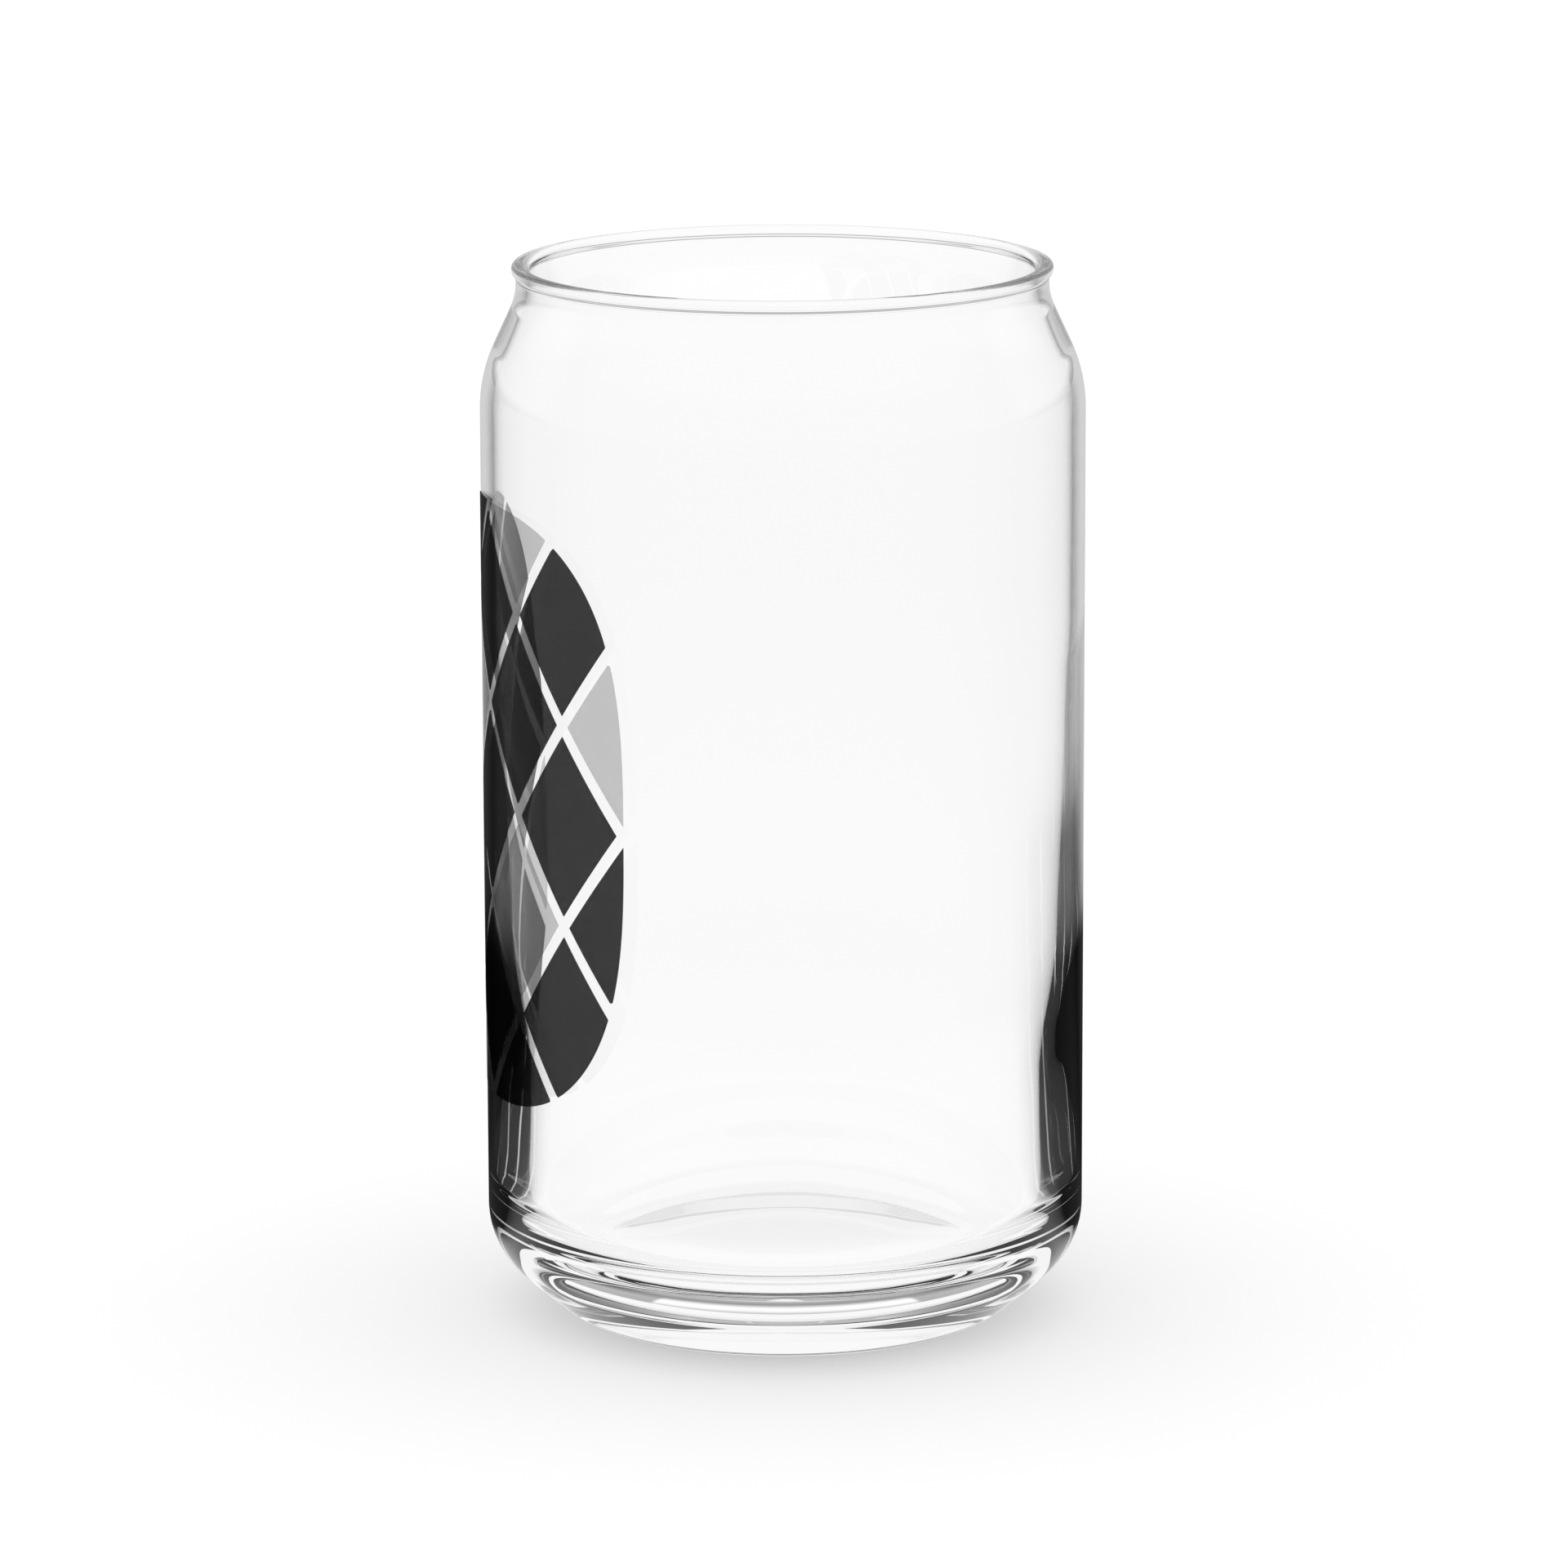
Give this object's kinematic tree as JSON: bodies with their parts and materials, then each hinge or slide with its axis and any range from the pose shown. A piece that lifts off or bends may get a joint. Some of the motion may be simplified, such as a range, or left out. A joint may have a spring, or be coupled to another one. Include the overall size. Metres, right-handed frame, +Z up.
{
  "type": "can shaped drinking glass",
  "caption": "Clear drinking glass shaped like a drinks can, with a necked mouth, beaded lip, thick chamfered base and a printed lozenge panel.",
  "frame": {"origin": "centre of the foot ring, on the surface the glass stands on", "axes": "+Z up along the axis of the glass, -Y out of the middle of the printed panel"},
  "size_m": [0.076, 0.0761, 0.1344],
  "materials": {
    "clear_glass": "polished clear soda-lime glass",
    "ink_charcoal": "smooth fired ink, charcoal",
    "ink_grey": "smooth fired ink, light grey"
  },
  "bodies": {
    "root": {"glass": "clear_glass", "print_dark": "ink_charcoal", "print_light": "ink_grey"}
  },
  "joints": []
}
